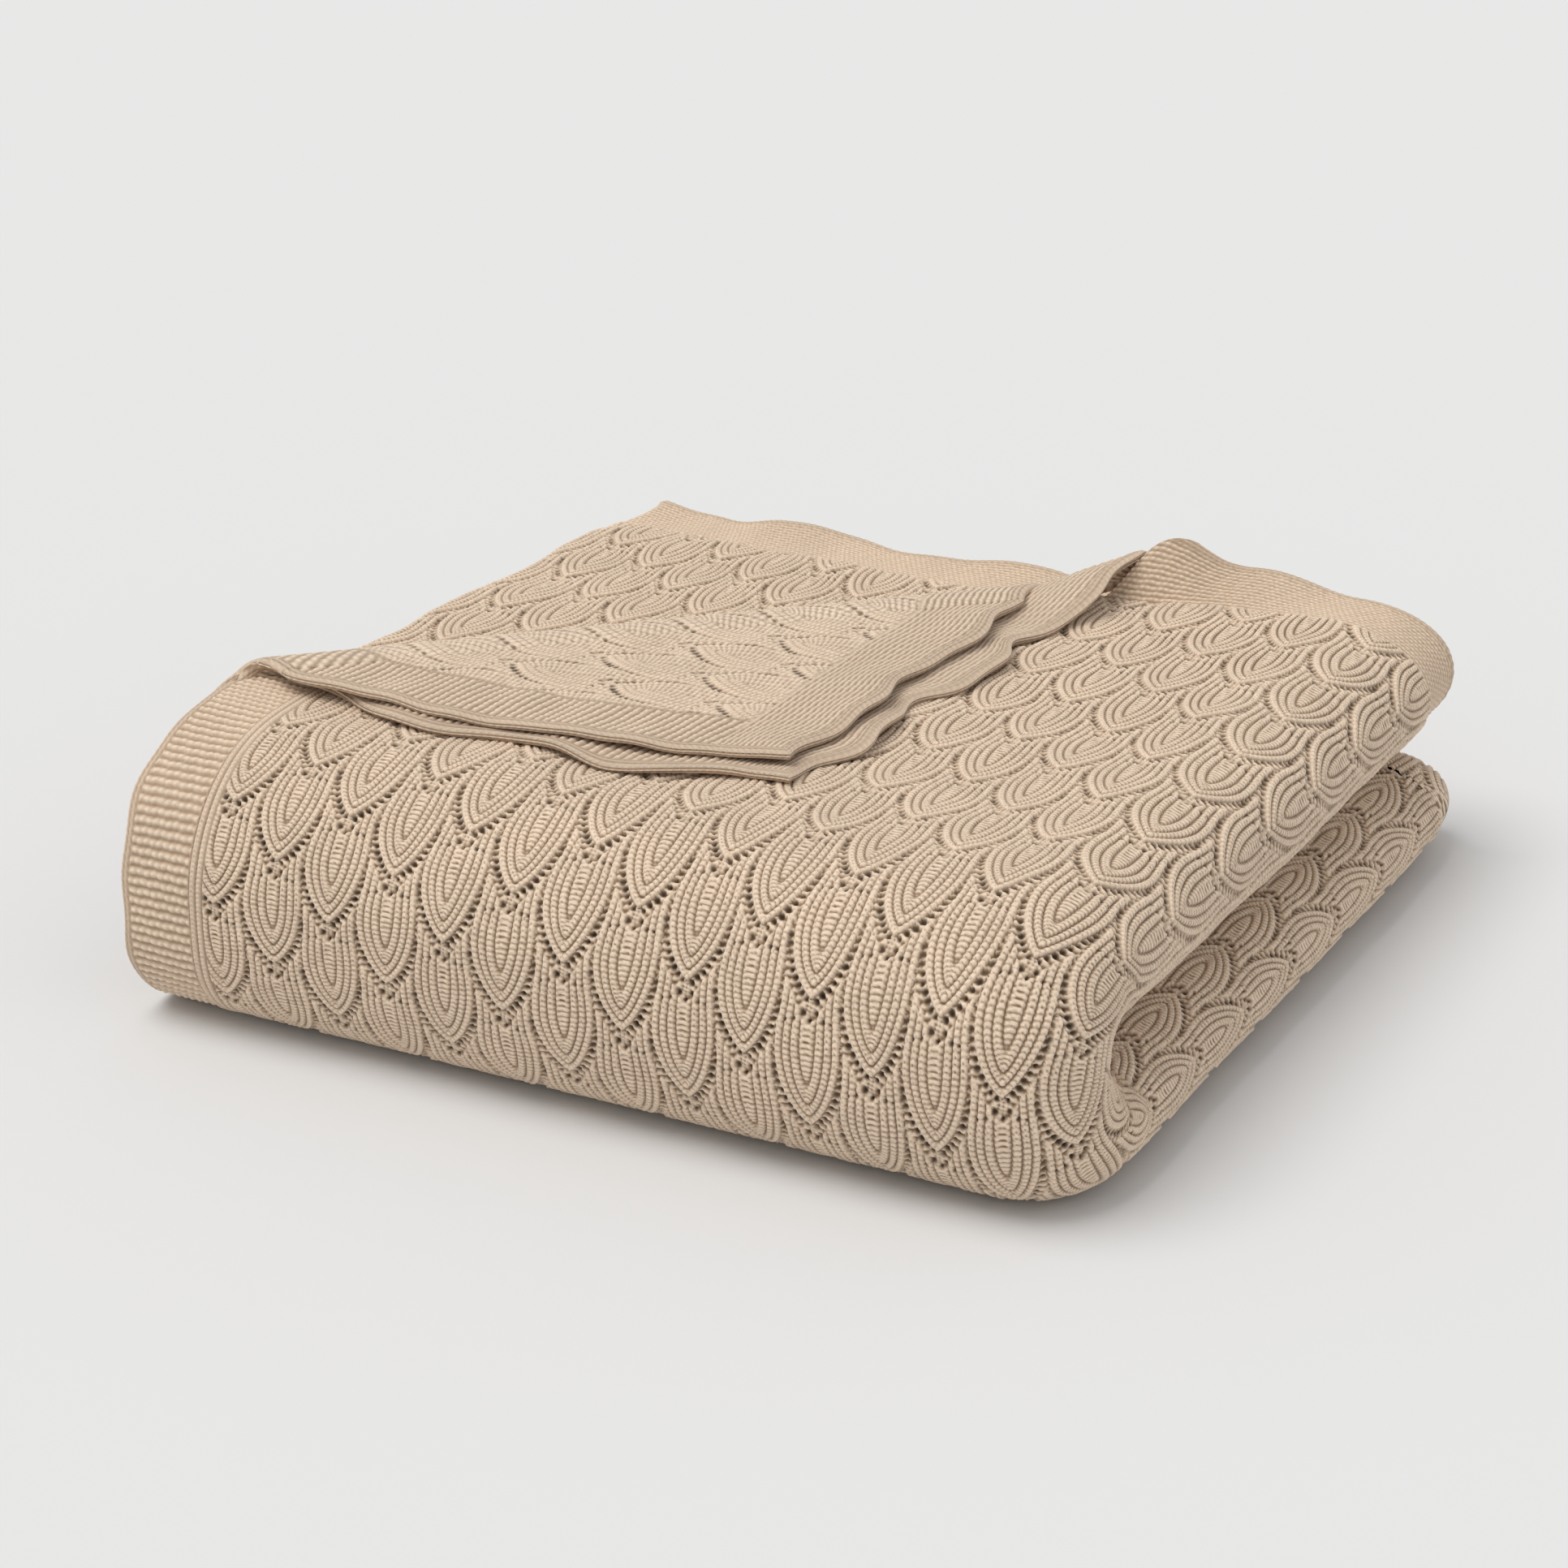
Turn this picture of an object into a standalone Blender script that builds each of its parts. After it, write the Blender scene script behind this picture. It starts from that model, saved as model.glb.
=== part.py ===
"""Folded knitted throw: one knitted cloth with four garter-stitch borders, folded into a pad.

Frame: origin at the centre of the pad's base, +X to the right along the front fold, +Y towards
the back edges, +Z up.  Metres.  The fold at the front is one big roll; on the right every layer
turns round in two stacked rolls; on the left and at the back the borders lie open.  The back-left
corner of the two upper layers is turned over on to the top.
"""
import bpy
import numpy as np

# ---------------------------------------------------------------- dimensions
HALF_X = 0.190          # half the pad's width
Y_FRONT = -0.195        # furthest point of the front fold
Y_BACK = 0.195          # furthest point at the back
TOP_Z0 = 0.1040         # height of the top layer at y = 0
TOP_SLOPE = -0.0338     # the top falls gently towards the back
ARC_Y = -0.135          # where the top starts to turn down
ARC_Y_LOW = -0.150      # where the front fold meets the floor
CREASE_Y = -0.128       # front end of the crease between the two right-hand rolls
CREASE_TOP = 0.0435     # underside of the upper roll
CREASE_LOW = 0.0395     # upper side of the lower roll
ROLL_TOP = 0.040        # how far the upper roll reaches sideways
ROLL_LOW = 0.030        # how far the lower roll reaches sideways
ROLL_END = 2.62         # the outer layer is followed this far round each roll, radians
BAND = 0.031            # width of the garter-stitch borders
GAP = 0.0003            # clear space between neighbouring pieces
LAYER = 0.0054          # thickness of one knitted layer
PITCH = 0.0059          # spacing of the layers
DOUBLE = 0.0112         # thickness of the folded double layer below
SKEW = 0.12             # the back edge runs slightly askew
EDGE_Y0 = 0.1649        # the back edge's y at x = 0
FOLD_C = 0.0805         # the turned corner's fold line is y = x + FOLD_C
FOLD_CLEAR = 0.0014     # clear space along that line
TURNED = 0.0044         # thickness of each turned-over layer, which lies loose and flat
TURNED_PITCH = 0.0047   # spacing of the turned-over layers
HINGE = (-0.050, 0.0305, 0.103219)   # a point on the fold line, between the touching layers
LOW_END = 0.158         # the lower half's layers run flat to here, then fold back
SEG_TOP, SEG_ARC, SEG_LOW = 9, 13, 6

KNIT = (0.72, 0.565, 0.41, 1.0)
BORDER = (0.70, 0.545, 0.39, 1.0)

for old in list(bpy.data.objects):
    bpy.data.objects.remove(old, do_unlink=True)


# ---------------------------------------------------------------- shape of the pad
def top_z(y):
    """Height of the top layer's upper side."""
    return TOP_Z0 + TOP_SLOPE * y


def back_edge(x):
    return EDGE_Y0 + SKEW * x


def front_arc(theta):
    """Outline of the front fold, from its top (0) to its foot (pi)."""
    zt = top_z(ARC_Y)
    c, s = np.cos(theta), np.sin(theta)
    power = np.where(c > 0, 0.95, 0.72)
    base = ARC_Y + (ARC_Y_LOW - ARC_Y) * np.clip(-c, 0, 1)
    y = base + (Y_FRONT - base) * np.abs(s) ** power
    z = zt / 2 + zt / 2 * np.sign(c) * np.abs(c) ** power
    return y, z


def section(y, z, kind):
    """Inner point of the roll that belongs to an outer point."""
    iy = np.maximum(y, CREASE_Y)
    low = CREASE_LOW if kind == "low" else CREASE_TOP
    return iy, np.full_like(y, low)


def wrap_rows(x, y_start):
    """Outer points (y, z), crease points and sideways reach for every row; x, y_start per column."""
    rows = []
    for r in np.linspace(0, 1, SEG_TOP + 1):
        y = (1 - r) * y_start + r * ARC_Y
        z = top_z(y)
        iy, iz = section(y, z, "top")
        rows.append((y, z, iy, iz, np.full_like(y, ROLL_TOP)))
    for k in range(1, SEG_ARC + 1):
        w = k / SEG_ARC
        y, z = front_arc(np.full_like(x, np.pi * w))
        iy = np.full_like(x, CREASE_Y)
        iz = np.full_like(x, CREASE_TOP + (CREASE_LOW - CREASE_TOP) * w)
        rows.append((y, z, iy, iz, np.full_like(x, ROLL_TOP + (ROLL_LOW - ROLL_TOP) * w)))
    for r in np.linspace(0, 1, SEG_LOW + 1)[1:]:
        y = np.full_like(x, ARC_Y_LOW + (LOW_END - ARC_Y_LOW) * r)
        iy, iz = section(y, y * 0, "low")
        rows.append((y, y * 0, iy, iz, np.full_like(x, ROLL_LOW)))
    return rows


def columns(n_flat, n_roll, x_first):
    """Column parameters: (share of the flat run, angle round the roll)."""
    flat = [(f, 0.0) for f in np.linspace(0, 1, n_flat + 1)]
    roll = [(1.0, a) for a in np.linspace(0, ROLL_END, n_roll + 1)[1:]]
    return np.array(flat + (roll if n_roll else []), float), x_first


def lay(row, col, x_start, x_end):
    """Points of one row: x_start, x_end bound the flat run, roll angles follow it."""
    y, z, iy, iz, reach = row
    share, angle = col[:, 0], col[:, 1]
    xe = (HALF_X - reach) if x_end is None else np.full_like(y, x_end)
    x = x_start + (xe - x_start) * share + reach * np.sin(angle)
    k = (1 + np.cos(angle)) / 2
    return np.stack([x, iy + (y - iy) * k, iz + (z - iz) * k], -1)


def normals(grid):
    du = np.gradient(grid, axis=0)
    dv = np.gradient(grid, axis=1)
    n = np.cross(du, dv)
    n /= np.maximum(np.linalg.norm(n, axis=-1, keepdims=True), 1e-12)
    return n


def inward(grid, depth):
    """The same grid moved into the pad."""
    return grid - normals(grid) * depth


# ---------------------------------------------------------------- solids
def solid(name, outer, inner, colour, origin=(0.0, 0.0, 0.0)):
    """Closed solid between two grids of the same size; origin is where the object's own origin sits."""
    m, n = outer.shape[:2]
    verts = np.concatenate([outer.reshape(-1, 3), inner.reshape(-1, 3)])
    a = np.arange(m * n).reshape(m, n)
    b = a + m * n
    faces = []
    for i in range(m - 1):
        for j in range(n - 1):
            faces.append((a[i, j], a[i + 1, j], a[i + 1, j + 1], a[i, j + 1]))
            faces.append((b[i, j], b[i, j + 1], b[i + 1, j + 1], b[i + 1, j]))
    for i in range(m - 1):
        faces.append((a[i + 1, 0], a[i, 0], b[i, 0], b[i + 1, 0]))
        faces.append((a[i, n - 1], a[i + 1, n - 1], b[i + 1, n - 1], b[i, n - 1]))
    for j in range(n - 1):
        faces.append((a[0, j], a[0, j + 1], b[0, j + 1], b[0, j]))
        faces.append((a[m - 1, j + 1], a[m - 1, j], b[m - 1, j], b[m - 1, j + 1]))
    tris = []
    for f in faces:
        tris += [(f[0], f[1], f[2]), (f[0], f[2], f[3])]
    p = verts[np.array(tris)]
    volume = np.einsum("ij,ij->i", p[:, 0], np.cross(p[:, 1], p[:, 2])).sum() / 6
    if volume < 0:
        tris = [t[::-1] for t in tris]
    mesh = bpy.data.meshes.new(name)
    verts = verts - np.array(origin)
    mesh.from_pydata([tuple(v) for v in verts], [], [tuple(int(i) for i in t) for t in tris])
    rounded = 4 * (m - 1) * (n - 1)
    mesh.polygons.foreach_set("use_smooth", [k < rounded for k in range(len(mesh.polygons))])
    mesh.validate()
    mesh.update()
    obj = bpy.data.objects.new(name, mesh)
    obj.location = origin
    bpy.context.scene.collection.objects.link(obj)
    mat = bpy.data.materials.new(name)
    mat.use_nodes = True
    shader = mat.node_tree.nodes["Principled BSDF"]
    shader.inputs["Base Color"].default_value = colour
    shader.inputs["Roughness"].default_value = 0.9
    mesh.materials.append(mat)
    return obj


def panel_grid(edge_off, n_flat, n_roll):
    """Body of an outer layer: from the end band, over the front fold, to the underside."""
    col, _ = columns(n_flat, n_roll, 0)
    x_side = -HALF_X + BAND + GAP
    out = []
    shares = np.linspace(0, 1, SEG_TOP + 1)
    for i in range(SEG_TOP + 1 + SEG_ARC + SEG_LOW):
        if i <= SEG_TOP:
            r = shares[i]
            k = (1 - r) * (EDGE_Y0 - BAND - GAP - edge_off) + r * ARC_Y
            x0 = (k - FOLD_C + FOLD_CLEAR) / (1 - SKEW * (1 - r))
            x0 = max(x0, x_side)
        else:
            x0 = x_side
        probe = np.full(len(col), x0)
        x = probe
        for _ in range(3):
            ys = back_edge(np.minimum(x, HALF_X)) - BAND - GAP - edge_off
            row = wrap_rows(x, ys)[i]
            p = lay(row, col, x0, None)
            x = p[:, 0]
        out.append(p)
    return np.array(out)


def side_grid(n_cols):
    """Border along the left edge, from the turned corner's fold, over the front, to the back."""
    col, _ = columns(n_cols, 0, 0)
    x = -HALF_X + BAND * col[:, 0]
    rows = wrap_rows(x, x + FOLD_C - FOLD_CLEAR)
    return np.array([np.stack([x, r[0], r[1]], -1) for r in rows])


def end_grid(edge_off, n_flat, n_roll, n_rows):
    """Border along the back edge, right of the turned corner's fold, round the upper roll."""
    col, _ = columns(n_flat, n_roll, 0)
    out = []
    for w in np.linspace(0, BAND, n_rows + 1):
        x0 = (EDGE_Y0 - edge_off - w - FOLD_C + FOLD_CLEAR) / (1 - SKEW)
        x = np.full(len(col), x0)
        for _ in range(3):
            y = back_edge(x) - edge_off - w
            iy, iz = section(y, top_z(y), "top")
            p = lay((y, top_z(y), iy, iz, np.full_like(y, ROLL_TOP)), col, x0, None)
            x = p[:, 0]
        out.append(p)
    return np.array(out)


def layer_pieces(prefix, depth, edge_off, n_flat, n_roll):
    for piece, grid, colour in (
        ("panel", panel_grid(edge_off, n_flat, n_roll), KNIT),
        ("side_band", side_grid(2), BORDER),
        ("end_band", end_grid(edge_off, 3, n_roll, 2), BORDER),
    ):
        outer = inward(grid, depth) if depth else grid
        solid(prefix + "_" + piece, outer, inward(grid, depth + LAYER), colour)


layer_pieces("top_layer", 0.0, 0.0, 8, 9)
layer_pieces("second_layer", PITCH, 0.0015, 6, 7)


# ------------------------------------------------ folded double layer inside the upper two
def double_grid(x0, x1, y_start, n):
    x = np.linspace(x0, x1, n)
    rows = wrap_rows(x, np.full_like(x, y_start))
    return np.array([np.stack([x, r[0], r[1]], -1) for r in rows])


THIRD = 2 * PITCH
fold = double_grid(-HALF_X + 0.004, HALF_X - ROLL_TOP - 0.020, EDGE_Y0 + 0.009 - BAND - GAP, 7)
outer, inner = inward(fold, THIRD), inward(fold, THIRD + DOUBLE)
mid = (outer + inner) / 2
for side, (k, reach) in ((0, (0.45, 0.0)), (-1, (0.45, 0.0))):
    outer[:, side] = mid[:, side] + (outer[:, side] - mid[:, side]) * k
    inner[:, side] = mid[:, side] + (inner[:, side] - mid[:, side]) * k
solid("inner_fold_panel", outer, inner, KNIT)

x = np.linspace(-HALF_X + 0.004, HALF_X - ROLL_TOP - 0.020, 7)
rows = []
for w in np.linspace(0, BAND, 3):
    y = np.full_like(x, EDGE_Y0 + 0.009 - w)
    rows.append(np.stack([x, y, top_z(y)], -1))
end = np.array(rows)
solid("inner_fold_end_band", inward(end, THIRD), inward(end, THIRD + DOUBLE), BORDER)


# ---------------------------------------------------------------- packed layers in the middle
def block(name, x0, x1, y0, y1, low, high, colour, round_left=0.004):
    """Pad of packed layers between two heights, its long edges eased."""
    xs = np.array([x0, x0 + round_left, (x0 + x1) / 2, x1 - round_left, x1])
    ys = np.array([y0, y0 + 0.008, (y0 + y1) / 2, y1 - 0.004, y1])
    gx, gy = np.meshgrid(xs, ys)
    ease = np.ones_like(gx)
    ease[:, 0] = ease[:, -1] = 0.72
    ease[0, :] *= 0.55
    hi, lo = high(gy), low(gy)
    m = (hi + lo) / 2
    h = (hi - lo) / 2 * ease
    top = np.stack([gx, gy, m + h], -1)
    solid(name, top, np.stack([gx, gy, m - h], -1), colour)


core_z = THIRD + DOUBLE + GAP
block("upper_core", -HALF_X + 0.006, HALF_X - ROLL_TOP - 0.020, -0.118, 0.172,
      lambda y: y * 0 + CREASE_TOP + 0.004, lambda y: top_z(y) - core_z - 0.0004, KNIT)
block("lower_core", -HALF_X + 0.006, HALF_X - ROLL_LOW - 0.020, -0.118, LOW_END - GAP,
      lambda y: y * 0 + core_z, lambda y: y * 0 + CREASE_LOW - 0.0006, KNIT)

# ------------------------------------------------ fold that closes the lower half at the back
psi = np.radians([0, 20, 40, 58, 74])
phi = np.radians([0, 0, 0, 0, 22, 42, 60, 76])
flat_x = np.linspace(-HALF_X, HALF_X - ROLL_LOW, 4)
zc = CREASE_LOW / 2
gp, gf = np.meshgrid(psi, phi, indexing="ij")
gx = HALF_X - ROLL_LOW + ROLL_LOW * np.sin(gf) * np.cos(gp)
gx[:, :4] = flat_x
gy = LOW_END + GAP + (Y_BACK - LOW_END - GAP) * np.sin(gp) / np.sin(psi[-1])
gh = zc * np.cos(gp) * np.cos(gf)
solid("lower_back_fold", np.stack([gx, gy, zc + gh], -1), np.stack([gx, gy, zc - gh], -1), KNIT)


# ---------------------------------------------------------------- the turned corner
def corner_piece(name, x_of, y_of, lift, colour, n, m):
    """One piece of the turned corner; x_of and y_of give the plan from two shares."""
    p, q = np.meshgrid(np.linspace(0, 1, n), np.linspace(0, 1, m))
    px, py = np.full_like(p, -0.05), np.full_like(p, 0.0)
    for _ in range(12):
        px, py = x_of(p, q, py), y_of(p, q, px)
    z = top_z(py) + lift
    plan = np.stack([px, py, z], -1)
    up = np.array([0, 0, TURNED])
    solid(name, plan + up, plan, colour, HINGE)


def fold_y(x):
    return x + FOLD_C - FOLD_CLEAR


def fold_x(y):
    return y - FOLD_C + FOLD_CLEAR


def corner_layer(prefix, lift, front, right):
    inset = BAND + GAP
    corner_piece(prefix + "_panel",
                 lambda p, q, y: (fold_x(front(-0.16) + inset) + 0.006) * (1 - p)
                 + (right(y) - inset) * p,
                 lambda p, q, x: (front(x) + inset) * (1 - q) + fold_y(x) * q,
                 lift, KNIT, 8, 6)
    corner_piece(prefix + "_side_band",
                 lambda p, q, y: np.maximum(-HALF_X, fold_x(y)) * (1 - p) + (right(y) - inset) * p,
                 lambda p, q, x: front(x) + BAND * q, lift, BORDER, 8, 4)
    corner_piece(prefix + "_end_band",
                 lambda p, q, y: right(y) - BAND * (1 - p),
                 lambda p, q, x: front(x) * (1 - q) + fold_y(x) * q, lift, BORDER, 3, 8)


corner_layer("corner_lower", GAP + 0.0002,
             lambda x: -0.1095 - 0.0160 * np.maximum(0.0, 1 - ((x + 0.0685) / 0.117) ** 2),
             lambda y: 0.0557 + 0.085 * y)
corner_layer("corner_upper", GAP + 0.0002 + TURNED_PITCH,
             lambda x: -0.1230 + 0.0235 * ((x + 0.1025) / 0.1444) ** 2, lambda y: 0.0430 + 0.020 * y)
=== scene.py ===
import math
import bpy
import numpy as np
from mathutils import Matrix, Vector


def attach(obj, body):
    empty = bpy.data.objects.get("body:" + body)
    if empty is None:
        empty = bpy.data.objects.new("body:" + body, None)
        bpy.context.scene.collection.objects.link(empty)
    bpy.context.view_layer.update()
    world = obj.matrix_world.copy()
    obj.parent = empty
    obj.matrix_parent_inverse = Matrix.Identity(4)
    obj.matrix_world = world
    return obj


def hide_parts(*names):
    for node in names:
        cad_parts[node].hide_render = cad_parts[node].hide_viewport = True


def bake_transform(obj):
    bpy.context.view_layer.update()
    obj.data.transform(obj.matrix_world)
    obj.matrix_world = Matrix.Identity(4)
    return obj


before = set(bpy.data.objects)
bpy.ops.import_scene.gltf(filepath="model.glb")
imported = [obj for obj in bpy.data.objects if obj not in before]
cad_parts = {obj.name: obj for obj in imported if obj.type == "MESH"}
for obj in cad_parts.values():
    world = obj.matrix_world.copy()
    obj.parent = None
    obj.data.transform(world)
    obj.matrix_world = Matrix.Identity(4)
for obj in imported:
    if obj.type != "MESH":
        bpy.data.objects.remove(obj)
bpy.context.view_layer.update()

# ------------------------------------------------------------------ sizes, metres
HALF_X, Y_FRONT, Y_BACK = 0.190, -0.195, 0.195
TOP_Z0, TOP_SLOPE = 0.1040, -0.0338
ARC_Y, ARC_Y_LOW = -0.135, -0.150
CREASE_Y, CREASE_TOP, CREASE_LOW = -0.128, 0.0435, 0.0395
ROLL_TOP, ROLL_LOW = 0.040, 0.030
BAND, LAYER, PITCH, DOUBLE = 0.031, 0.0054, 0.0059, 0.0112
SKEW, EDGE_Y0 = 0.12, 0.1649
FOLD_C = 0.0805
TURNED = 0.0044                               # thickness of a turned layer
RISE, DRAW = 0.0118, 0.0215
LOW_END = 0.158
STEP = 0.00050      # spacing of the fine surface
HIDDEN_STEP = 0.0016                          # spacing where little of the cloth shows

# leaf lace, millimetres
PX, PY = 48.6, 43.8
COL = PX / 2
WALE, COURSE = 2.85, 2.10
TIP_X, TIP_Y, ROW_SKEW = 0.095, 0.1068, 0.133


def top_z(y):
    return TOP_Z0 + TOP_SLOPE * y


def back_edge(x):
    return EDGE_Y0 + SKEW * x


def smooth(t, a=0.0, b=1.0):
    t = np.clip((t - a) / (b - a), 0, 1)
    return t * t * (3 - 2 * t)


def drawn(x):
    """Near the fold's back end the outer layer's back edge is drawn forwards and stands up."""
    return 1 - smooth(x, 0.066, 0.118)


def raised(x):
    return (RISE * (1 - smooth(x, 0.085, 0.150)) + 0.0090 * (1 - smooth(x, 0.076, 0.108))
            + 0.0066 * (1 - smooth(x, 0.074, 0.100)))


def ripple(x, y, scale, seed):
    """Gentle, repeatable unevenness between about -1 and 1."""
    out = 0.0
    for k in range(5):
        a = 2.399 * (k + 1) + seed
        f = (0.7 + 0.35 * k) / scale
        out = out + np.sin((x * math.cos(a) + y * math.sin(a)) * f * 6.283 + 1.7 * k + seed * 3.1)
    return out / 3.0


# ------------------------------------------------------------------ the knitted cell
LEAF_HALF, LEAF_BEND = 11.9, 8.2      # half-width of a leaf, and how soon it is reached
LADDER, RUNG = 3.5, 2.75              # width of the open ladder, and distance between its rungs
GRID, GRID_LOW = 0.15, -14.0          # spacing and lowest place of the distance table


def vee(y):
    """Half-width of a leaf above its tip."""
    return LEAF_HALF * (1 - np.exp(-np.maximum(y, 0) / LEAF_BEND))


ARM_Y = np.linspace(0, 60, 600)       # height above the tip, length and slope of a leaf's side
ARM_S = np.concatenate([[0], np.cumsum(np.hypot(np.diff(ARM_Y), np.diff(vee(ARM_Y))))])
ARM_T = np.arctan2(1.0, LEAF_HALF / LEAF_BEND * np.exp(-ARM_Y / LEAF_BEND))
AXIS_Y = np.linspace(0, 34, 300)


def rib_profile(s, along, tall):
    """A wale of V stitches: s across from -1 to 1, along in millimetres."""
    ridge = np.clip(1 - np.abs(s / 0.90) ** 2.6, 0, 1) ** 0.6
    turn = (along / COURSE + 0.55 * np.abs(s)) % 1.0
    stitch = 1 - 2 * np.abs(2 * turn - 1) ** 2.0
    split = np.exp(-((s / 0.17) ** 2))
    return tall * ridge + 0.25 * stitch * ridge - 0.24 * split * ridge


def arm_table():
    """Distance from a leaf's outline, and place along it, over half a leaf; millimetres."""
    gx, gy = np.arange(0, 12.61, GRID), np.arange(GRID_LOW, 62.0, GRID)
    ys = np.concatenate([np.linspace(0, 22, 150), np.linspace(22.6, 66, 60)])
    xs = vee(ys)
    arc = np.concatenate([[0], np.cumsum(np.hypot(np.diff(ys), np.diff(xs)))])
    near, place = np.zeros((len(gx), len(gy))), np.zeros((len(gx), len(gy)))
    for i, x in enumerate(gx):
        r = np.hypot(x - xs[None, :], gy[:, None] - ys[None, :])
        k = r.argmin(1)
        near[i], place[i] = r[np.arange(len(gy)), k], arc[k]
    return near, place


def look_up(table, x, y):
    """Value of the distance table at x beside the axis and y above the tip."""
    a = np.clip(x / GRID, 0, table.shape[0] - 1.001)
    b = np.clip((y - GRID_LOW) / GRID, 0, table.shape[1] - 1.001)
    i, j = a.astype(int), b.astype(int)
    fa, fb = a - i, b - j
    return ((table[i, j] * (1 - fa) + table[i + 1, j] * fa) * (1 - fb)
            + (table[i, j + 1] * (1 - fa) + table[i + 1, j + 1] * fa) * fb)


def blurred(tile, mm):
    """The repeating tile, softened."""
    a, b = tile.shape
    fu = np.fft.fftfreq(a, PX / a)[:, None]
    fv = np.fft.fftfreq(b, PY / b)[None, :]
    low = np.exp(-2 * (math.pi * mm) ** 2 * (fu ** 2 + fv ** 2))
    return np.real(np.fft.ifft2(np.fft.fft2(tile) * low))


def hollows(tile):
    """How far each place lies above (towards 1) or below (towards 0) its neighbourhood, used as painted
    shading: lighter on crests, darker in hollows.
    """
    rise = 0.6 * (tile - blurred(tile, 0.8)) + 0.5 * (tile - blurred(tile, 2.0))
    return np.clip(0.68 + 0.85 * rise, 0, 1)


def make_cell():
    """One repeat of the leaf lace: two leaves, half a repeat apart."""
    n_u, n_v = 405, 365
    U, V = np.meshgrid(np.arange(n_u) * PX / n_u, np.arange(n_v) * PY / n_v, indexing="ij")
    Ue = U - 0.9 * np.sin(2 * math.pi * U / PX) * np.cos(2 * math.pi * (V / PY - 0.55))
    near, place = arm_table()
    face, rear, hole, fine = [np.zeros_like(U) for _ in range(4)]
    for c in (0, 1):
        x = (Ue - c * COL + PX / 2) % PX - PX / 2
        y = (V - c * PY / 2) % PY
        own = np.abs(x) <= COL / 2
        ax = np.abs(x)
        yi = np.where(ax < vee(y), y, y + PY)
        # open ladder below the arms and the tip of the leaf above
        yl = yi - PY
        e = look_up(near, ax, yl)
        s = look_up(place, ax, yl)
        room_for = e - LADDER - 3.6 * np.exp(-(x / 4.2) ** 2) - 0.3 * np.cos(x * 2.2)
        leaf = room_for > 0
        # ribs that follow the outline, rounded where they turn at the axis
        y = yi
        d0 = look_up(near, ax, y)
        soft = np.sqrt(x * x + (0.35 + 0.11 * d0) ** 2)
        d = look_up(near, np.minimum(soft, 12.6), y)
        k = np.floor(d / WALE)
        q = 2 * (d / WALE - k - 0.5)
        along = look_up(place, ax, y) + 0.7 * k
        ribs = rib_profile(q, along, np.where(k < 3, 1.25, 1.05))
        purl = (along / COURSE * 0.9 + 0.5 * (k % 2)) % 1.0
        bumps = 0.42 * (1 - 2 * np.abs(2 * purl - 1) ** 1.5)
        bar = 0.5 + 0.5 * np.cos(2 * math.pi * (s - 0.30 * e + 0.4 * np.sign(x)) / RUNG)
        cross = 0.5 + 0.5 * np.cos(2 * math.pi * e / 2.9 + 0.6)
        ladder = -0.60 + 0.95 * bar ** 0.8 + 0.35 * cross * bar
        # knots at the tip
        r2 = (x / 2.6) ** 2 + ((yl + 1.6) / 2.4) ** 2
        knot = 0.9 * np.cos(x * 2.3 + yl * 1.9) * np.cos(x * 1.2 - yl * 2.5)
        under = np.exp(-r2 * 0.8)
        ladder = ladder * (1 - 0.7 * under) + under * (0.45 + knot)
        edge = smooth(np.where(leaf, np.minimum(room_for, d0), 0), 0.0, 0.5)
        h = ladder * (1 - edge) + ribs * edge
        back = ladder * 0.7 * (1 - edge) + (0.45 * ribs + bumps) * edge
        for kk in (1.0, 2.0, 3.0):
            yk = np.interp(kk * WALE, look_up(near, 0 * AXIS_Y, AXIS_Y), AXIS_Y)
            r2 = (x / 1.7) ** 2 + ((y - yk) / 1.2) ** 2
            h = h - 0.45 * np.exp(-r2 * 1.6) * (np.cos(y * 3.1 + kk) > -0.4)
        face = np.where(own, h, face)
        rear = np.where(own, back, rear)
        stitch = (along / COURSE + 0.28 * np.abs(q)) % 1.0
        fine = np.where(own, (1 - 2 * np.abs(2 * stitch - 1) ** 1.5) * edge, fine)
        for n in range(9):
            at = RUNG * (n + 0.5) + 0.2
            ye = np.interp(at, ARM_S, ARM_Y)
            slope = np.interp(at, ARM_S, ARM_T)
            for side in (-1, 1):
                size = 0.98 + 0.28 * math.sin(5.1 * n + 2.3 * side + 1.9 * c)
                out = 1.35 + 0.25 * math.sin(3.7 * n + side)
                xe, yn = vee(ye) + out * math.sin(slope), ye - out * math.cos(slope)
                dx = (x - side * xe + PX / 2) % PX - PX / 2
                dy = (V - c * PY / 2 - yn + PY / 2) % PY - PY / 2
                r = np.hypot(dx / (1.15 * size), dy / (1.25 * size))
                hole = np.maximum(hole, (1 - smooth(r, 0.40, 1.2)) * (0.95 if n < 6 else 0.55))
        for hx, hy, size in ((-2.6, -4.3, 1.15), (2.9, -4.0, 1.05), (-5.4, -6.2, 0.8), (5.6, -6.4, 0.85),
                             (0.3, -6.6, 0.75), (8.3, -7.0, 0.6), (-8.6, -6.9, 0.65)):
            dx = (x - hx + PX / 2) % PX - PX / 2
            dy = (V - c * PY / 2 - hy + PY / 2) % PY - PY / 2
            hole = np.maximum(hole, 0.9 * (1 - smooth(np.hypot(dx, dy) / size, 0.4, 1.25)))
    # painted shading from the relief: lighter on ribs and stitch tops, darker in hollows and holes
    shade = hollows(1.25 * face + 0.5 * fine - 1.2 * hole)
    shade_rear = hollows(rear - 1.0 * hole)
    return face - 1.3 * hole, rear - 0.9 * hole, hole, shade, shade_rear


FACE, REAR, HOLE, FACE_SHADE, REAR_SHADE = make_cell()


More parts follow.
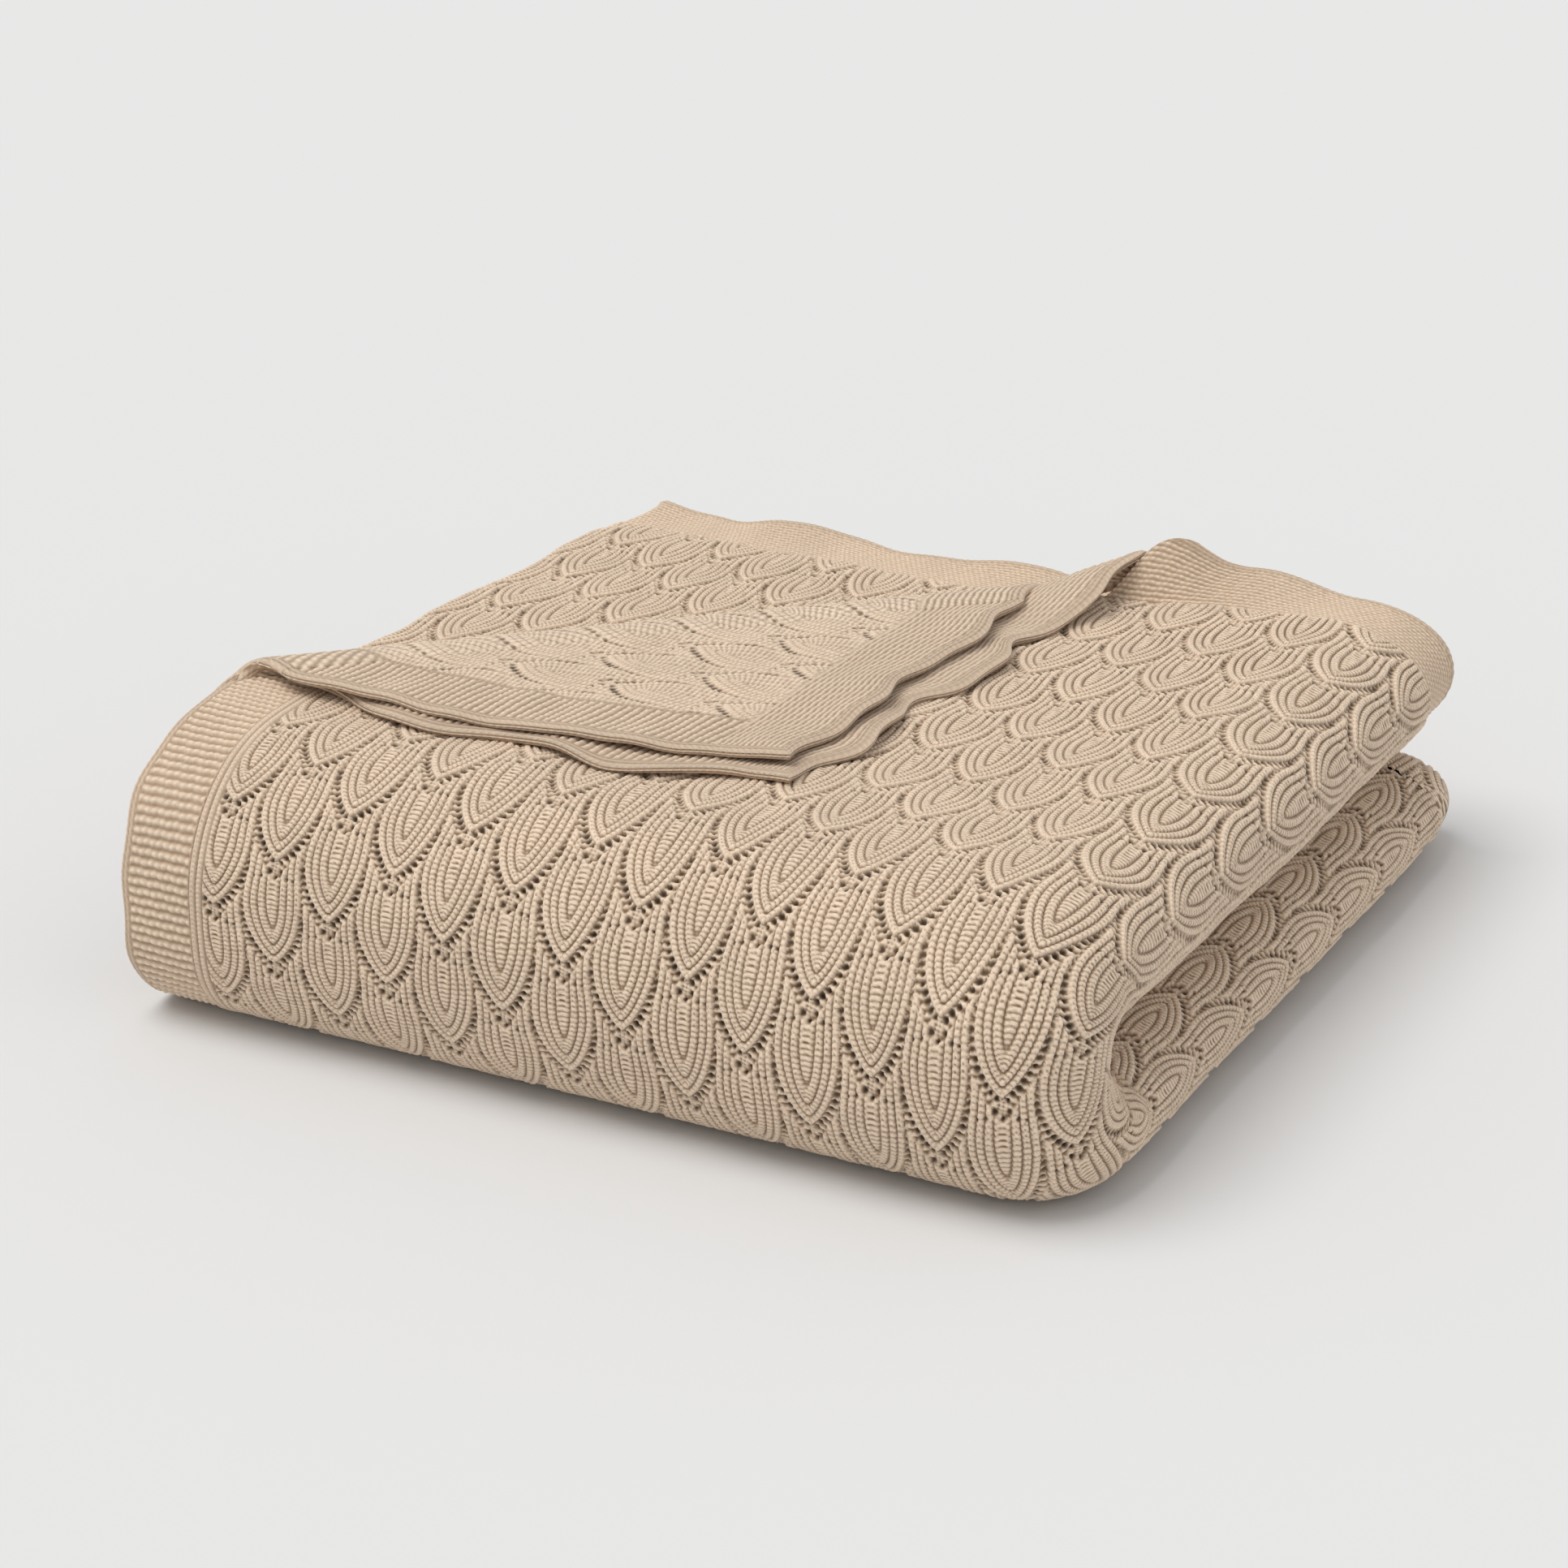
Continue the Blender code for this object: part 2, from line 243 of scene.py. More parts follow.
def sample(tile, u, v):
    """Bilinear look-up in the repeating cell; u, v in millimetres."""
    n_u, n_v = tile.shape
    a, b = (u / PX) % 1.0 * n_u, (v / PY) % 1.0 * n_v
    i, j = np.floor(a).astype(int), np.floor(b).astype(int)
    fa, fb = a - i, b - j
    i, j = i % n_u, j % n_v
    i1, j1 = (i + 1) % n_u, (j + 1) % n_v
    return ((tile[i, j] * (1 - fa) + tile[i1, j] * fa) * (1 - fb)
            + (tile[i, j1] * (1 - fa) + tile[i1, j1] * fa) * fb)


def garter(u, v, pitch, bead):
    """Garter ridges along u, with painted shading from how far each place stands out (lighter on ridges,
    darker between); u, v in millimetres.
    """
    row = np.floor(v / pitch + 0.5)
    wob = v + 0.15 * np.sin(u * 0.9 + row * 1.3)
    g = 0.5 + 0.5 * np.cos(2 * math.pi * wob / pitch)
    beads = 0.5 + 0.5 * np.cos(2 * math.pi * (u / bead + 0.5 * row))
    full = g ** 0.75 * (0.62 + 0.38 * beads)
    return (1.35 if pitch > 3 else 0.85) * full - 0.35, np.clip(0.12 + 1.0 * full, 0, 1)


def cloth(X, Y, dl, db, rear=False, skew=ROW_SKEW):
    """Relief of the knitted cloth in metres, how open it is, and its painted shading (lighter on crests,
    darker in hollows), at fabric place X, Y (metres); dl and db are the distances from its side and end
    edges."""
    u = (X - TIP_X) * 1000
    v = (Y - TIP_Y) * 1000 - skew * u
    u = u + 0.5 * ripple(X, Y, 0.11, 1.0)
    v = v + 0.6 * ripple(X, Y, 0.13, 2.0)
    open_by = 0.85 + 0.30 * ripple(X, Y, 0.012, 4.0)
    h = sample(REAR if rear else FACE, u, v)
    painted_shading = sample(REAR_SHADE if rear else FACE_SHADE, u, v)
    hole = sample(HOLE, u, v) * np.clip(open_by, 0.45, 1.1)
    h = h * (0.94 + 0.10 * ripple(X, Y, 0.02, 6.0))

    def lay(part, h, hole, painted_shading, new_h, new_hole, new_painted_shading):
        return (h * (1 - part) + new_h * part, hole * (1 - part) + new_hole * part,
                painted_shading * (1 - part) + new_painted_shading * part)

    s = 2 * (((dl - BAND) * 1000 / WALE) % 1.0 - 0.5)
    chain = rib_profile(s, v, 1.3)
    if rear:
        chain = 0.35 + 0.3 * np.cos(2 * math.pi * v / COURSE)
    reach = 0.0012 if rear else 0.0057
    near = 1 - smooth(dl, BAND + reach, BAND + reach + 0.0010)
    # painted shading on the side chain: lighter on its ribs, darker between them
    h, hole, painted_shading = lay(near, h, hole, painted_shading, chain, 0, np.clip(0.2 + 0.5 * chain, 0, 1))
    edge = 1 - smooth(db, BAND - 0.001, BAND + 0.0015)
    h, hole, painted_shading = lay(edge, h, hole, painted_shading, 0.1, 0, 0.5)
    g, g_painted_shading = garter(u, v, 3.5, 3.0)
    side = 1 - smooth(dl, BAND - 0.0012, BAND + 0.0002)
    h, hole, painted_shading = lay(side, h, hole, painted_shading, g, 0, g_painted_shading)
    g, g_painted_shading = garter(u, db * 1000, 2.15, 2.3)
    end = 1 - smooth(db, BAND - 0.0012, BAND + 0.0002)
    h, hole, painted_shading = lay(end, h, hole, painted_shading, g, 0, g_painted_shading)
    rim = np.minimum(dl, db)
    plait = 0.55 + 0.30 * np.cos(2 * math.pi * (u + v + 500 * rim) / 2.9)
    groove = np.exp(-((rim - 0.0019) / 0.00045) ** 2) + np.exp(-((rim - 0.0038) / 0.00045) ** 2)
    lip = 1 - smooth(rim, 0.0040, 0.0048)
    # painted shading on the rim: darker in its two grooves, lighter and darker along the plait
    h, hole, painted_shading = lay(lip, h, hole, painted_shading, 0.3 + 0.4 * plait - 0.35 * groove, 0,
                         0.62 + 0.30 * (plait - 0.5) - 0.45 * groove)
    return h / 1000, hole, painted_shading


# ------------------------------------------------------------------ meshes
def mesh_object(name, verts, faces, uv, painted_shading, hole, material):
    """Mesh from arrays; faces is an (n, 3) or (n, 4) array or a list of such arrays."""
    groups = faces if isinstance(faces, list) else [faces]
    mesh = bpy.data.meshes.new(name)
    mesh.vertices.add(len(verts))
    mesh.vertices.foreach_set("co", np.asarray(verts, np.float32).ravel())
    loops = np.concatenate([g.ravel() for g in groups])
    sizes = np.concatenate([np.full(len(g), g.shape[1]) for g in groups])
    mesh.loops.add(len(loops))
    mesh.loops.foreach_set("vertex_index", loops.astype(np.int32))
    mesh.polygons.add(len(sizes))
    starts = np.concatenate([[0], np.cumsum(sizes)[:-1]])
    mesh.polygons.foreach_set("loop_start", starts.astype(np.int32))
    mesh.polygons.foreach_set("use_smooth", np.ones(len(sizes), bool))
    layer = mesh.uv_layers.new(name="UVMap")
    layer.data.foreach_set("uv", uv[loops].astype(np.float32).ravel())
    # the painted shading and the hole mask go to the material as point attributes
    for label, value in (("painted_shading", painted_shading), ("hole", hole)):
        attribute = mesh.attributes.new(label, "FLOAT", "POINT")
        attribute.data.foreach_set("value", value.astype(np.float32))
    mesh.update(calc_edges=True)
    mesh.validate()
    obj = bpy.data.objects.new(name, mesh)
    bpy.context.scene.collection.objects.link(obj)
    mesh.materials.append(material)
    return obj


def grid_faces(m, n, base=0, flip=False):
    a = base + np.arange(m * n).reshape(m, n)
    f = np.stack([a[:-1, :-1], a[1:, :-1], a[1:, 1:], a[:-1, 1:]], -1).reshape(-1, 4)
    return f[:, ::-1] if flip else f


def grid_normals(P):
    n = np.cross(np.gradient(P, axis=0), np.gradient(P, axis=1))
    return n / np.maximum(np.linalg.norm(n, axis=-1, keepdims=True), 1e-12)


def declared(obj):
    """Returns the sheet unchanged."""
    return obj


def open_sheet(name, P, knit, uv, material, a=0, b=None):
    """One-sided sheet whose free edges are not seen; a and b cut a range of columns."""
    h, hole, painted_shading = knit
    Q = (P + grid_normals(P) * h[..., None])[:, a:b]
    m, n = Q.shape[:2]
    obj = mesh_object(name, Q.reshape(-1, 3), grid_faces(m, n), uv[:, a:b].reshape(-1, 2),
                      painted_shading[:, a:b].ravel(), hole[:, a:b].ravel(), material)
    return declared(obj)


def closed_sheet(name, P, thick, knit, knit_low, uv, material):
    """Two-sided sheet round the middle surface P."""
    h_up, hole, painted_shading = knit
    h_low, _, painted_shading_low = knit_low
    N = grid_normals(P)
    up = P + N * (thick / 2 + h_up)[..., None]
    low = P - N * (thick / 2 + h_low)[..., None]
    m, n = thick.shape
    a = np.arange(m * n).reshape(m, n)
    ring = np.concatenate([a[0, :-1], a[:-1, -1], a[-1, :0:-1], a[:0:-1, 0]])
    nxt = np.roll(ring, -1)
    k = m * n
    rim = np.stack([nxt, ring, ring + k, nxt + k], -1)
    faces = [grid_faces(m, n), grid_faces(m, n, k, True), rim[:, ::-1]]
    verts = np.concatenate([up.reshape(-1, 3), low.reshape(-1, 3)])
    obj = mesh_object(name, verts, faces, np.tile(uv.reshape(-1, 2), (2, 1)),
                      np.concatenate([painted_shading.ravel(), painted_shading_low.ravel()]),
                      np.tile(hole.ravel(), 2), material)
    return declared(obj)


def faint(knit, share):
    """The same relief made fainter."""
    return knit[0] * share, knit[1] * share, knit[2]


# ------------------------------------------------------------------ materials
def noise(nt, coord, scale, detail, roughness):
    """Noise in the piece's own space."""
    node = nt.nodes.new("ShaderNodeTexNoise")
    node.inputs["Scale"].default_value = scale
    node.inputs["Detail"].default_value = detail
    node.inputs["Roughness"].default_value = roughness
    nt.links.new(coord.outputs["Object"], node.inputs["Vector"])
    return node.outputs["Fac"]


def factor(nt, source, low, high):
    """The middle range of a noise as a factor from low to high."""
    node = nt.nodes.new("ShaderNodeMapRange")
    node.inputs["From Min"].default_value = 0.3
    node.inputs["From Max"].default_value = 0.7
    node.inputs["To Min"].default_value = low
    node.inputs["To Max"].default_value = high
    nt.links.new(source, node.inputs["Value"])
    return node.outputs["Result"]


def knit_material(name, lit_crest_colour, shaded_valley_colour, fuzz):
    mat = bpy.data.materials.new(name)
    mat.use_nodes = True
    nt = mat.node_tree
    nodes, links = nt.nodes, nt.links
    bsdf = nodes["Principled BSDF"]
    painted_shading = nodes.new("ShaderNodeAttribute")
    painted_shading.attribute_name = "painted_shading"
    hole = nodes.new("ShaderNodeAttribute")
    hole.attribute_name = "hole"
    # painted shading: the dark valley colour in hollows and the crest colour on ridges, mixed by the
    # painted_shading attribute
    base = nodes.new("ShaderNodeMix")
    base.data_type = "RGBA"
    base.inputs["A"].default_value = shaded_valley_colour
    base.inputs["B"].default_value = lit_crest_colour
    links.new(painted_shading.outputs["Fac"], base.inputs["Factor"])
    coord = nodes.new("ShaderNodeTexCoord")
    tone = factor(nt, noise(nt, coord, 900.0, 3.0, 0.65), 0.86, 1.08)
    drift = factor(nt, noise(nt, coord, 38.0, 2.0, 0.5), 0.96, 1.03)
    both = nodes.new("ShaderNodeMath")
    both.operation = "MULTIPLY"
    links.new(tone, both.inputs[0])
    links.new(drift, both.inputs[1])
    # painted shade in the holes: the colour is dimmed by up to 80% where the hole mask is full
    dim = nodes.new("ShaderNodeMath")
    dim.operation = "MULTIPLY_ADD"
    dim.inputs[1].default_value = -0.80
    dim.inputs[2].default_value = 1.0
    links.new(hole.outputs["Fac"], dim.inputs[0])
    shade = nodes.new("ShaderNodeMath")
    shade.operation = "MULTIPLY"
    links.new(both.outputs["Value"], shade.inputs[0])
    links.new(dim.outputs["Value"], shade.inputs[1])
    scaled = nodes.new("ShaderNodeVectorMath")
    scaled.operation = "SCALE"
    links.new(base.outputs["Result"], scaled.inputs[0])
    links.new(shade.outputs["Value"], scaled.inputs["Scale"])
    links.new(scaled.outputs["Vector"], bsdf.inputs["Base Color"])
    bsdf.inputs["Roughness"].default_value = 0.95
    bsdf.inputs["Specular IOR Level"].default_value = 0.15
    bsdf.inputs["Sheen Weight"].default_value = 0.25
    bsdf.inputs["Sheen Roughness"].default_value = 0.6
    bsdf.inputs["Sheen Tint"].default_value = (1.0, 0.93, 0.84, 1.0)
    bump = nodes.new("ShaderNodeBump")
    bump.inputs["Strength"].default_value = fuzz
    bump.inputs["Distance"].default_value = 0.0006
    links.new(noise(nt, coord, 1500.0, 4.0, 0.7), bump.inputs["Height"])
    links.new(bump.outputs["Normal"], bsdf.inputs["Normal"])
    return mat


# the crest colours are lit yarn colours and the valley colours are painted shade
LACE = knit_material("lace knit", (0.915, 0.73, 0.555, 1), (0.25, 0.155, 0.085, 1), 0.6)
BORDER = knit_material("garter border", (0.90, 0.72, 0.55, 1), (0.36, 0.24, 0.145, 1), 0.55)


# ------------------------------------------------------------------ the outer layer's run
def front_arc(theta, zt):
    c, s = np.cos(theta), np.sin(theta)
    power = np.where(c > 0, 0.95, 0.72)
    base = ARC_Y + (ARC_Y_LOW - ARC_Y) * np.clip(-c, 0, 1)
    y = base + (Y_FRONT - base) * np.abs(s) ** power
    z = zt / 2 + zt / 2 * np.sign(c) * np.abs(c) ** power
    return y, z


def arc_table():
    th = np.linspace(0, math.pi, 1500)
    y, z = front_arc(th, top_z(ARC_Y))
    s = np.concatenate([[0], np.cumsum(np.hypot(np.diff(y), np.diff(z)))])
    return th, s


ARC_TH, ARC_S = arc_table()
ARC_LEN = ARC_S[-1]
STRETCH = 1.12        # the lace is drawn out a little over the front fold


def outline(run):
    """Outer point (y, z), crease point, sideways reach and fabric place for a distance run along
    the outer layer, counted from the top of the front fold: negative on the top, then down the
    front, then back along the floor."""
    run = np.asarray(run, float)
    th = np.interp(run, ARC_S, ARC_TH)
    ya, za = front_arc(th, top_z(ARC_Y))
    low = run - ARC_LEN
    y = np.where(run < 0, ARC_Y - run, np.where(low > 0, ARC_Y_LOW + low, ya))
    z = np.where(run < 0, top_z(ARC_Y - run), np.where(low > 0, 0.0, za))
    w = th / math.pi
    iy = np.maximum(y, CREASE_Y)
    iz = CREASE_TOP + (CREASE_LOW - CREASE_TOP) * w
    reach = ROLL_TOP + (ROLL_LOW - ROLL_TOP) * w
    fabric = np.where(run < 0, ARC_Y - run,
                      ARC_Y - np.minimum(run, ARC_LEN) / STRETCH - np.maximum(low, 0))
    skew = ROW_SKEW * (1 - smooth(run, -0.02, ARC_LEN))
    return y, z, iy, iz, reach, fabric, skew


def low_share(run):
    """The lower roll stands out a little beyond the upper one."""
    return smooth(np.asarray(run, float), 0.45 * ARC_LEN, 1.0 * ARC_LEN)


def roll_map():
    """Angles round a roll, and the distance along the cloth to each."""
    a = np.linspace(0, math.pi, 400)
    d = np.concatenate([[0], np.cumsum(np.hypot(np.diff(0.036 * np.sin(a)), np.diff(0.026 * np.cos(a))))])
    return a, d


def roll_angles(n):
    """Angles round a roll at about equal distances, to just inside the crease."""
    a, d = roll_map()
    return np.interp(np.linspace(0, d[-1], n), d, a)


def wrap_grid(runs, flat, n_roll, x_start):
    """Grid over the outer layer.  runs: distances per row; flat: shares of the flat part;
    x_start: left limit per row."""
    ang = roll_angles(n_roll) if n_roll > 1 else np.zeros(1)
    y, z, iy, iz, reach, fabric, skew = [v[:, None] for v in outline(runs)]
    share = np.concatenate([flat, np.ones(len(ang) - 1)])[None, :]
    phi = np.concatenate([np.zeros(len(flat)), ang[1:]])[None, :]
    xe = HALF_X - reach
    x0 = np.asarray(x_start)[:, None] if np.ndim(x_start) else x_start
    x = x0 + (xe - x0) * share + (reach + 0.0065 * low_share(runs)[:, None]) * np.sin(phi)
    k = (1 + np.cos(phi)) / 2
    P = np.stack([x, iy + (y - iy) * k, iz + (z - iz) * k], -1)
    extra = np.interp(phi, *roll_map()) if n_roll > 1 else 0 * phi
    U = x0 + (xe - x0) * share + extra
    V = fabric + 0 * U
    return P, U, V, skew + 0 * U


def unevenness(P, amount):
    """The pad's soft unevenness, along its normals."""
    return amount * (0.6 * ripple(P[..., 0], P[..., 1] + P[..., 2], 0.16, 5.0)
                     + 0.4 * ripple(P[..., 0] + P[..., 2], P[..., 1], 0.07, 9.0))


def settle(P, amount=0.0012):
    lift = unevenness(P, amount) * smooth(P[..., 2], 0.004, 0.03)
    return P + grid_normals(P) * lift[..., None]


STRIPS = 9


def cloth_uv(X, Y):
    return np.stack([X, Y], -1) * 4


def add(obj, body, slot, *nodes):
    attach(obj, body)
    if nodes:
        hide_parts(*nodes)
    return obj


# top and front of the outer layer, in strips from left to right
def fold_x_at(y):
    """Left limit of the outer layer on the top, where it turns over along the fold line."""
    return y - FOLD_C


def outer_layer():
    back = EDGE_Y0 + SKEW * 0.10
    runs = np.arange(-(back - 0.018 - ARC_Y), ARC_LEN - 0.004, STEP)
    y_of = np.where(runs < 0, ARC_Y - runs, -1.0)
    x_left = np.maximum(-HALF_X + BAND - 0.0006, fold_x_at(y_of) + 0.006 * smooth(y_of, 0.10, 0.15))
    n_flat = int(0.309 / STEP)
    n_roll = int(0.105 / STEP)
    P, U, V, SK = wrap_grid(runs, np.linspace(0, 1, n_flat), n_roll, x_left)
    P = settle(P)
    db = back_edge(U) - V - 0.4 * DRAW * drawn(U)
    keep_db = np.where(runs[:, None] < 0, db, 1.0)
    h, hole, painted_shading = cloth(U, V, U + HALF_X, keep_db + 0 * U, skew=SK)
    # under the end border the sheet dips out of sight
    h = h - (1 - smooth(keep_db, BAND - 0.004, BAND - 0.0005)) * 0.004
    cuts = np.linspace(0, P.shape[1] - 1, STRIPS + 1).astype(int)
    return [open_sheet("outer_lace_%d" % (i + 1), P, (h, hole, painted_shading), cloth_uv(U, V), LACE,
                       cuts[i], cuts[i + 1] + 1) for i in range(STRIPS)]


strips = outer_layer()
for o in strips:
    add(o, "pad", "lace_knit")
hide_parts("top_layer_panel")


def under_side():
    """The part of the outer layer that lies on the floor, and the lower roll at the right."""
    runs = np.arange(ARC_LEN - 0.004 - STEP, ARC_LEN + LOW_END - ARC_Y_LOW, STEP)
    n_roll = int(0.085 / STEP)
    flat = np.linspace(0.93, 1, int(0.024 / STEP))
    P, U, V, SK = wrap_grid(runs, flat, n_roll, -HALF_X + BAND)
    P = settle(P)
    knit = cloth(U, V, U + HALF_X, U * 0 + 1, skew=SK)
    roll = open_sheet("lower_roll_lace", P, faint(knit, 0.3 + 0.7 * smooth(P[..., 2], 0.0, 0.004)),
                      cloth_uv(U, V), LACE)
    runs = np.arange(ARC_LEN - 0.004 - 0.002, ARC_LEN + LOW_END - ARC_Y_LOW, 0.002)
    flat = np.linspace(0, 0.94, int(0.30 / 0.002))
    P, U, V, SK = wrap_grid(runs, flat, 1, -HALF_X + BAND)
    knit = cloth(U, V, U + HALF_X, U * 0 + 1, skew=SK)
    base = open_sheet("underside_lace", P, faint(knit, 0.3), cloth_uv(U, V), LACE)
    return roll, base


roll, base = under_side()
add(roll, "pad", "lace_knit")
add(base, "pad", "lace_knit")


# ------------------------------------------------------------------ the turned corner
ROOT2 = math.sqrt(2.0)
FOLD_A = (-HALF_X - HALF_X + FOLD_C) / ROOT2       # left end of the fold, along the fold line
FOLD_B = 0.159                                     # back end of the fold, along the fold line


def to_plan(t, u):
    """Plan point at t along the fold line and u beyond it."""
    return (t * ROOT2 - u * ROOT2 - FOLD_C) / 2, (t * ROOT2 + u * ROOT2 + FOLD_C) / 2


def from_plan(x, y):
    return (x + y) / ROOT2, (y - x - FOLD_C) / ROOT2


def fold_radius(t):
    return (0.0027 + 0.0008 * np.exp(-((t - FOLD_B) / 0.034) ** 2)
            + 0.0020 * np.exp(-((t - FOLD_A) / 0.032) ** 2))


def fold_reach(t):
    return fold_radius(t) * math.pi / 2


def fold_shift(t):
    """How far the fold itself strays from its straight line towards the back end."""
    return 0.0020 * smooth(t, 0.05, 0.165)


def rim_shape(d, r=0.0026):
    q = np.clip(1 - d / r, 0, 1)
    return np.sqrt(np.maximum(1 - q * q, 0.02))


def side_out(layer, Y):
    """How far a turned layer's side edge stood out beyond the pad's left side before it was turned."""
    if layer == 1:
        return 0.0172 * np.maximum(0.0, 1 - ((Y - 0.012) / 0.117) ** 2)
    return 0.0130 - 0.0235 * ((Y + 0.022) / 0.1444) ** 2


def end_edge(layer, X):
    if layer == 1:
        return 0.1270 + 0.085 * (X + 0.189) + 0.0045 * smooth(X, 0.02, 0.07)
    return 0.1215 + 0.020 * (X + 0.180)


def bend(layer, X, Y):
    """Middle surface of a turned layer for a place X, Y in its flat, unturned state."""
    dl = X + HALF_X + side_out(layer, Y)
    db = end_edge(layer, X) - Y
    e = (Y - X - FOLD_C) / ROOT2
    squeeze = side_out(layer, Y) * (1 - smooth(e, 0.0, 0.030)) * (1 - smooth(dl, 0.0, 0.050))
    X = X + squeeze
    t, e = from_plan(X, Y)
    if layer == 1:
        r = fold_radius(t)
        a = r * math.pi / 2
        phi = np.clip((e + a) / r, 0, math.pi)
        u = np.where(e < -a, e, np.where(e > a, -e, -a + r * np.sin(phi)))
        z = r * (1 - np.cos(phi)) - LAYER / 2
        z = z - 2 * (r - 0.0027) * smooth(e - a, 0.0, 0.075)
        tent = np.clip(1 - db / 0.034, 0, 1) * (1 - smooth(e, 0.004, 0.046))
        z = z + RISE * tent * smooth(t, 0.08, 0.13)
        shift = fold_shift(t)
    else:
        a = 0.0235
        phi = np.clip((e + a) / (2 * a), 0, 1) * math.pi
        u = np.where(e > a, -e, -a + 0.0290 * np.sin(phi) ** 0.85)
        u = np.where(e < -a, e, u)
        z = -0.0006 - 0.0080 * np.cos(phi)
        shift = 0.5 * fold_shift(t)
    u = u + shift * (1 - smooth(np.abs(e), 0.012, 0.060))
    # soft waves of the free edges
    up = smooth(e, 0.004, 0.04)
    px, py = to_plan(t, u)
    if layer == 1:
        w_side = 0.0050 * np.sin((Y + 0.045) / 0.087 * 6.283) * smooth(e, 0.01, 0.05)
        w_end = 0.0044 * np.sin((py - 0.085) / 0.084 * 6.283) + 0.0016 * np.sin(py / 0.037 * 6.283 + 1)
        z_side = 0.0009 * (1 + np.sin((px + 0.002) / 0.058 * 6.283))
        z_end = 0.0013 * (1 + np.sin((py - 0.100) / 0.084 * 6.283))
    else:
        w_side = 0.0010 * np.sin((px - 0.05) / 0.083 * 6.283)
        w_end = 0.0026 * np.sin((py - 0.020) / 0.092 * 6.283) + 0.0010 * np.sin(py / 0.039 * 6.283)
        z_side = 0.0008 * (1 + np.sin((px - 0.03) / 0.083 * 6.283))
        z_end = 0.0012 * (1 + np.sin((py - 0.035) / 0.092 * 6.283))
    near_end = np.exp(-np.maximum(db, 0) / 0.018)
    py = py - w_side * up * np.exp(-dl / 0.020)
    px = px + w_end * up * near_end
    z = z + up * np.maximum(z_side * np.exp(-dl / 0.016), z_end * near_end)
    soft = 0.0006 * ripple(X, Y, 0.05, 3.0 + layer) * up
    return np.stack([px, py, top_z(py) + z + soft], -1), dl, db


def oriented(P, others, ref):
    """Flip the grid so that its normals agree with the wanted direction."""
    N = grid_normals(P)
    if np.mean(np.sum(N * ref, -1)) < 0:
        return P[:, ::-1], [o[:, ::-1] for o in others]
    return P, others


def lattice(n):
    """Triangular lattice: indices and shares from the corner towards both fold ends."""
    idx = -np.ones((n + 1, n + 1), int)
    pts = []
    for i in range(n + 1):
        for j in range(n + 1 - i):
            idx[i, j] = len(pts)
            pts.append((i, j))
    pts = np.array(pts, float) / n
    quads, tris = [], []
    for i in range(n):
        for j in range(n - i):
            if i + j + 2 <= n:
                quads.append((idx[i, j], idx[i + 1, j], idx[i + 1, j + 1], idx[i, j + 1]))
            else:
                tris.append((idx[i, j], idx[i + 1, j], idx[i, j + 1]))
    ring = [idx[i, 0] for i in range(n + 1)] + [idx[n - j, j] for j in range(1, n + 1)]
    ring += [idx[0, j] for j in range(n - 1, 0, -1)]
    return pts, np.array(quads), np.array(tris), np.array(ring)


def turned_flap(name, layer, n):
    """The part of a layer that lies turned over on the pad."""
    reach = 0.00425 if layer == 1 else 0.0235
    # corner and both fold ends in the unturned fabric
    def side_x(Y):
        return -HALF_X - side_out(layer, Y)
    ky = 0.14
    for _ in range(8):
        kx = side_x(ky)
        ky = end_edge(layer, kx)
    ay = 0.0
    for _ in range(20):
        ax = side_x(ay)
        ay = ax + FOLD_C + ROOT2 * reach
    bx = 0.0
    for _ in range(20):
        bx = end_edge(layer, bx) - FOLD_C - ROOT2 * reach
    by = end_edge(layer, bx)
    pts, quads, tris, ring = lattice(n)
    A, B = pts[:, 0], pts[:, 1]
    X = kx + A * (ax - kx) + B * (bx - kx)
    Y = ky + A * (ay - ky) + B * (by - ky)
    # the two free edges follow their curves
    off_side = side_x(ky + A * (ay - ky)) - (kx + A * (ax - kx))
    off_end = end_edge(layer, kx + B * (bx - kx)) - (ky + B * (by - ky))
    X = X + off_side * np.clip(1 - B / np.maximum(1 - A, 1e-6), 0, 1)
    Y = Y + off_end * np.clip(1 - A / np.maximum(1 - B, 1e-6), 0, 1)
    P, dl, db = bend(layer, X, Y)
    d = 1e-4
    Pu = bend(layer, X + d, Y)[0] - P
    Pv = bend(layer, X, Y + d)[0] - P
    N = np.cross(Pu, Pv)
    N /= np.linalg.norm(N, axis=-1, keepdims=True)
    N *= np.sign(N[:, 2:3])
    h_up, hole_up, painted_shading_up = cloth(X, Y, dl, db, rear=True)
    h_low, hole_low, painted_shading_low = cloth(X, Y, dl, db)
    rim = np.minimum(np.maximum(dl, 0), np.maximum(db, 0))
    thick = (TURNED - 0.0011) * rim_shape(rim, 0.0022)
    up = P + N * (thick / 2 + h_up * 0.85)[:, None]
    low = P - N * (thick / 2 + h_low * 0.3)[:, None]
    k = len(P)
    nxt = np.roll(ring, -1)
    wall = np.stack([ring, nxt, nxt + k, ring + k], -1)
    flip = np.cross(up[quads[0][1]] - up[quads[0][0]], up[quads[0][3]] - up[quads[0][0]])[2] < 0
    if flip:
        faces = [quads[:, ::-1], tris[:, ::-1], quads + k, tris + k, wall[:, ::-1]]
    else:
        faces = [quads, tris, quads[:, ::-1] + k, tris[:, ::-1] + k, wall]
    uv = np.tile(cloth_uv(X, Y), (2, 1))
    obj = mesh_object(name, np.concatenate([up, low]), faces, uv,
                      np.concatenate([painted_shading_up, painted_shading_low]), np.concatenate([hole_up, hole_low]), LACE)
    return obj


